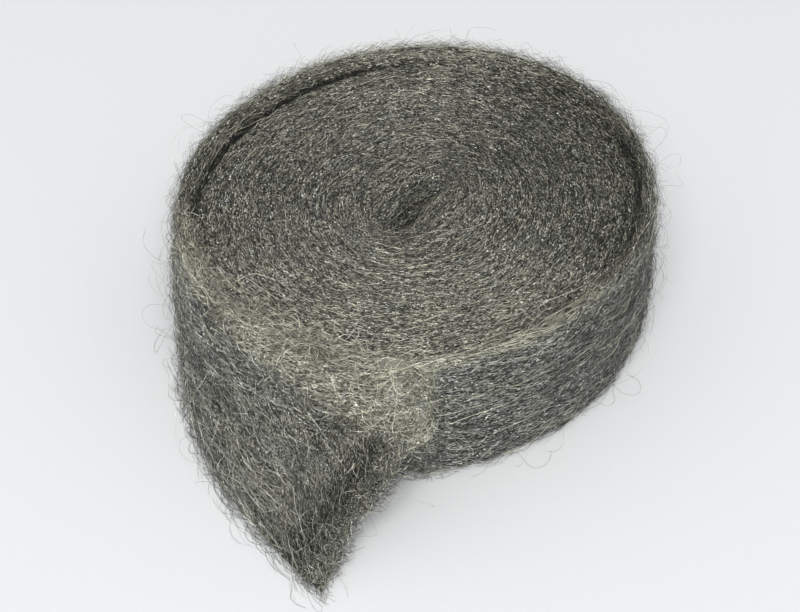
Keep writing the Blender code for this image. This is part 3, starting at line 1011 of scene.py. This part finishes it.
def torn_end_share(points, way, normals, where):
    """1 close to the torn end of the tail, where the fibres turn back along the ribbon."""
    tail, degrees = where["tail"], where["degrees"]
    angle = np.radians(degrees)
    onward = normals[:, 1] * np.cos(angle) - normals[:, 0] * np.sin(angle)
    facing_on = (onward > 0.5) | ((way * normals).sum(1) > 0.5)
    ends = points[facing_on & (tail > 0.5) & (degrees > TORN_END_FROM_DEG)]
    tree = kdtree.KDTree(len(ends))
    for i, point in enumerate(ends):
        tree.insert(point, i)
    tree.balance()
    share = np.zeros(len(points))
    for i in np.flatnonzero(tail > 0.05):
        share[i] = 1.0 if tree.find(points[i])[2] < TORN_END_REACH else 0.0
    return share


def find_marks(points, normals, where, turn_back):
    """Shares from 0 to 1 for the parts of the roll and for what stands out on them."""
    x, y, height = points.T
    degrees, radius = where["degrees"], where["radius"]
    top, side, tail, under = where["top"], where["side"], where["tail"], where["under"]
    past_fold = degrees - FOLD_FOOT_DEG - FOLD_DEG_PER_METRE * height
    torn_face = rising(past_fold, "angle past the fold")
    torn_face *= tail * falling(height, "height of the torn end")
    share, turns = turn_shares(points)
    inside = top * ease(OUTERMOST_GROOVE - turns, 0.0, 1.0)
    band = rising(height - np.interp(degrees, *zip(*PALE_BAND_FOOT)), "height over the band's foot")
    band *= rising(radius - np.interp(degrees, *zip(*PALE_BAND_INSIDE)), "radius past the band's inside")
    band *= rising(degrees, "angle where the band starts") * falling(degrees, "angle where the band ends")
    right = rising(degrees, "angle where the right starts")
    right = right * (1.0 - RIGHT_FADES_BY * rising(degrees, "angle where the right fades"))
    crest = rising(height, "height of the crest") * (CREST_SHARE + CREST_SHARE_AT_RIGHT * right)
    rim = rising(height, "height of the rim")
    rim = rim * rising(where["past"], "distance of the rim from the drum's edge")
    behind = rising(height, "height behind the crest") * (1.0 - right)
    slit_angle = math.radians(LONG_AXIS_DEG)
    off_slit = y * math.cos(slit_angle) - x * math.sin(slit_angle)
    # Where the painted shadow beside the slit falls
    dark_side = bell(off_slit, *DARK_SIDE_OF_SLIT) * falling(radius, "radius of the slit's dark side")
    tip = falling(np.linalg.norm(points - np.array(TAIL_TIP), axis=1), "distance from the tip")
    torn_foot = turn_back * tail * falling(height, "height of the torn end's foot")
    outward = (normals[:, :2] * points[:, :2]).sum(1) / np.maximum(radius, 1e-6)
    low_edge = tail * falling(height, "height of the tail's lower edge") * rising(outward, "slope outwards")
    low_edge *= (
        (1.0 - under)
        * rising(degrees, "angle where the lower edge starts")
        * falling(degrees, "angle where the lower edge ends")
    )
    return {
        "everywhere": np.ones(len(points)),
        "top": top,
        "side": side,
        "side off the band": side * (1.0 - band),
        "whole tail": tail,
        "tail": tail * (1.0 - band),
        "underside": under,
        # Upright wool, where the cool cast is painted shade
        "shaded upright wool": (1.0 - where["facing_up"]) * (1.0 - band) * (1.0 - behind),
        "groove": bell(np.minimum(share, 1.0 - share), *GROOVE) * inside,
        "crease": bell(turns, *CREASE) * crease_share(degrees) * inside,
        "slit": bell(off_slit, *SLIT) * falling(radius, "radius of the slit"),
        "dark side of the slit": dark_side,
        "core": top * falling(radius, "radius of the core"),
        "front": top * rising(-y, "distance to the front") * falling(x, "x of the right"),
        "far right": top * rising(x + FAR_RIGHT_SLANT * y, "place across the far right"),
        "back": top * rising(y, "y of the back") * falling(x, "x where the back ends"),
        "right": right,
        "right side": side * rising(x, "x of the right"),
        "edge-on wall": side * bell(degrees, *EDGE_ON_WALL),
        "tight wall": bell(degrees, *TIGHT_WALL) * falling(height, "height of the tight wall"),
        "band": band,
        "end of the band": band * rising(degrees, "angle of the band's palest part"),
        "crest": crest * (1.0 - band),
        "rim": rim,
        "halo at the back": rim * rising(y, "y of the halo at the back"),
        "back's rim": rising(height, "height of the back's rim") * rising(y, "y of the back's rim"),
        "fold": bell(past_fold, *FOLD) * tail * falling(height, "height of the fold"),
        "foot of the tail": tail * falling(height, "height of the tail's foot"),
        "lower edge": low_edge,
        "torn face": torn_face,
        "torn edge": np.maximum(turn_back, tip),
        "torn end": np.maximum(np.maximum(turn_back * tail, tip), TORN_FACE_SHARE * torn_face),
        "foot of the torn end": np.maximum(tip, BRUSH_FOOT_SHARE * torn_foot),
    }


def blend(marks, shares):
    return sum(share * marks[name] for name, share in shares.items())


def fibre_cover(marks, kind):
    """How thickly a kind of fibre stands at each point, where 1 is its full number for each square metre."""
    adds, takes_off = COVERS[kind]
    cover = blend(marks, adds)
    for name, share in takes_off.items():
        cover = cover * (1.0 - share * marks[name])
    return cover


def mark_wool(mesh):
    """Finds the marks on the wool body, and writes there what the fibres and the finish follow."""
    points = mesh_points(mesh)
    normals = mesh_normals(mesh)
    where = regions(points, normals)
    way = ribbon_direction(points)
    turn_back = torn_end_share(points, way, normals, where)
    way = unit(way - normals * (way * normals).sum(1)[:, None])
    marks = find_marks(points, normals, where, turn_back)
    in_core = where["radius"] < CORE_RADIUS
    lay = straight_lay(points, in_core, marks["torn face"] > 0.5)
    straight = where["tail"] * falling(points[:, 2], "height of the tail's straight fibres") + in_core
    write_attribute(mesh, "grain", way, "FLOAT_VECTOR")
    write_attribute(mesh, "wound", unwound(points), "FLOAT_VECTOR")
    write_attribute(mesh, "straight_lay", lay, "FLOAT_VECTOR")
    write_attribute(mesh, "straight", straight)
    # The pale marks: painted light and shade, and the wool's tone by region
    write_attribute(mesh, "pale", blend(marks, TONES_WITH_PAINTED_LIGHT_AND_SHADE))
    write_attribute(mesh, "cool", blend(marks, COOLNESS_WITH_PAINTED_SHADE))
    write_attribute(mesh, "turn_back", turn_back)
    write_attribute(mesh, "curly", blend(marks, CURLS))
    return marks


def build():
    bpy.context.scene.view_settings.view_transform = "Standard"
    camera()
    studio()
    steels = {
        # The cool steel is a copy of the warm one in a cool cast, partly painted shade
        "warm": drawn_steel_fibre("warm_steel_fibre", cool=0.1),
        "cool": drawn_steel_fibre("cool_tint_and_shade_steel_fibre", cool=0.75),
    }
    body = wool_body()
    body.data.materials.append(matted_wool())
    marks = mark_wool(body.data)
    tree = fibre_tree("wool_fibres")
    pieces = [body]
    for name, (cover, sizes) in FIBRE_PIECES.items():
        write_attribute(body.data, "cover", fibre_cover(marks, cover))
        steel = steels["cool" if cover in COOL_COVERS else "warm"]
        pieces.append(fibres(name, tree, body, steel, **sizes))
    for piece in pieces:
        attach(piece, "root")
    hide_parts("steel_wool_roll")


build()
